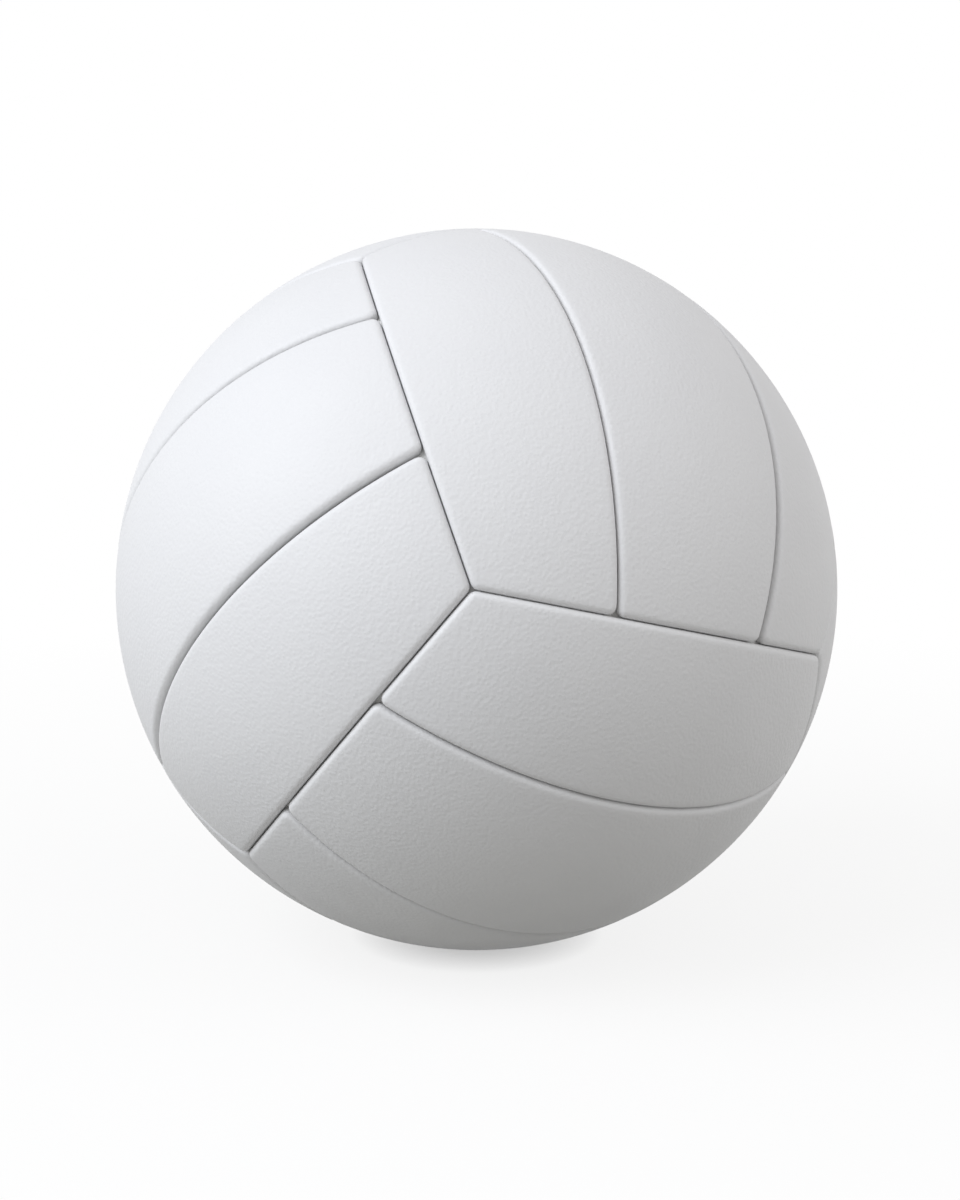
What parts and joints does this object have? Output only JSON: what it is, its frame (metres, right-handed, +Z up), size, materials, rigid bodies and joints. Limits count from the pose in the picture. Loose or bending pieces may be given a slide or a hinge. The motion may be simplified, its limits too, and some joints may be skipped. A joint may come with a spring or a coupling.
{
  "type": "volleyball",
  "caption": "Inflated indoor volleyball with padded white covers in three-strip groups over a wound carcass, a bladder and a needle valve with a removable core.",
  "frame": {"origin": "centre of the ball", "axes": "+Z up and -Y towards the viewer, as the ball lies in the picture; -Z points at the lowest point of its surface"},
  "size_m": [0.21, 0.21, 0.21],
  "materials": {
    "cover": "satin",
    "foam": "matte",
    "carcass": "matte",
    "thread": "satin",
    "bladder": "satin",
    "valve": "matte"
  },
  "bodies": {
    "ball": {"front_middle_cover": "cover", "front_side_1_cover": "cover", "front_side_2_cover": "cover", "top_middle_cover": "cover", "top_side_1_cover": "cover", "top_side_2_cover": "cover", "left_middle_cover": "cover", "left_side_1_cover": "cover", "left_side_2_cover": "cover", "back_middle_cover": "cover", "back_side_1_cover": "cover", "back_side_2_cover": "cover", "bottom_middle_cover": "cover", "bottom_side_1_cover": "cover", "bottom_side_2_cover": "cover", "right_middle_cover": "cover", "right_side_1_cover": "cover", "right_side_2_cover": "cover", "front_middle_pad": "foam", "front_side_1_pad": "foam", "front_side_2_pad": "foam", "top_middle_pad": "foam", "top_side_1_pad": "foam", "top_side_2_pad": "foam", "left_middle_pad": "foam", "left_side_1_pad": "foam", "left_side_2_pad": "foam", "back_middle_pad": "foam", "back_side_1_pad": "foam", "back_side_2_pad": "foam", "bottom_middle_pad": "foam", "bottom_side_1_pad": "foam", "bottom_side_2_pad": "foam", "right_middle_pad": "foam", "right_side_1_pad": "foam", "right_side_2_pad": "foam", "bladder": "bladder", "thread_winding": "thread", "carcass": "carcass", "valve_seat": "valve"},
    "valve_core": {"valve_core": "valve"}
  },
  "joints": [
    {"name": "valve_core_pull", "type": "slide", "parent": "ball", "child": "valve_core", "axis": [-0.2612, 0.7278, 0.634], "range_m": [0, 0.03]}
  ]
}
